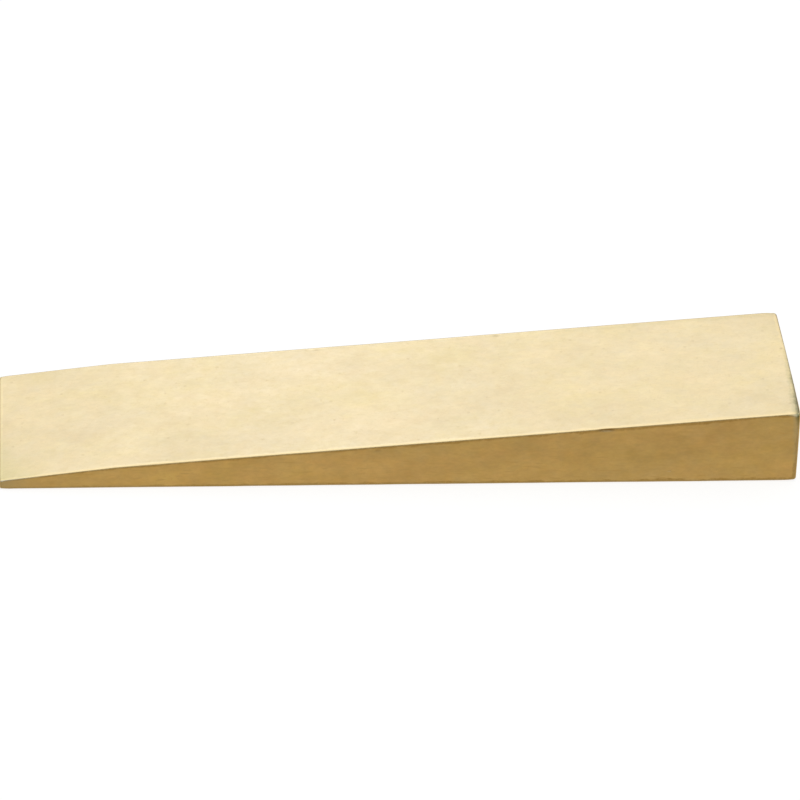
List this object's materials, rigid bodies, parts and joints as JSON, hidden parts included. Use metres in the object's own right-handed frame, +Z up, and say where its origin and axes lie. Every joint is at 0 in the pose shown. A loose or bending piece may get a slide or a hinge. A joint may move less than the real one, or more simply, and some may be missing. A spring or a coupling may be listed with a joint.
{
  "type": "felling wedge",
  "caption": "Slim solid metal felling wedge with a flat underside, a long lifting ramp, a short steeper nose, a thin blunt tip and a flat striking face.",
  "frame": {"origin": "middle of the flat underside, halfway between the tip and the striking face", "axes": "+X along the wedge from the tip to the striking face, +Y across it, +Z up from the underside"},
  "size_m": [0.2, 0.05, 0.0199],
  "materials": {
    "bronze": "matt pale gold, finely mottled, with faint lengthwise dressing marks and rubbed edges"
  },
  "bodies": {
    "root": {"wedge_body": "bronze"}
  },
  "joints": []
}
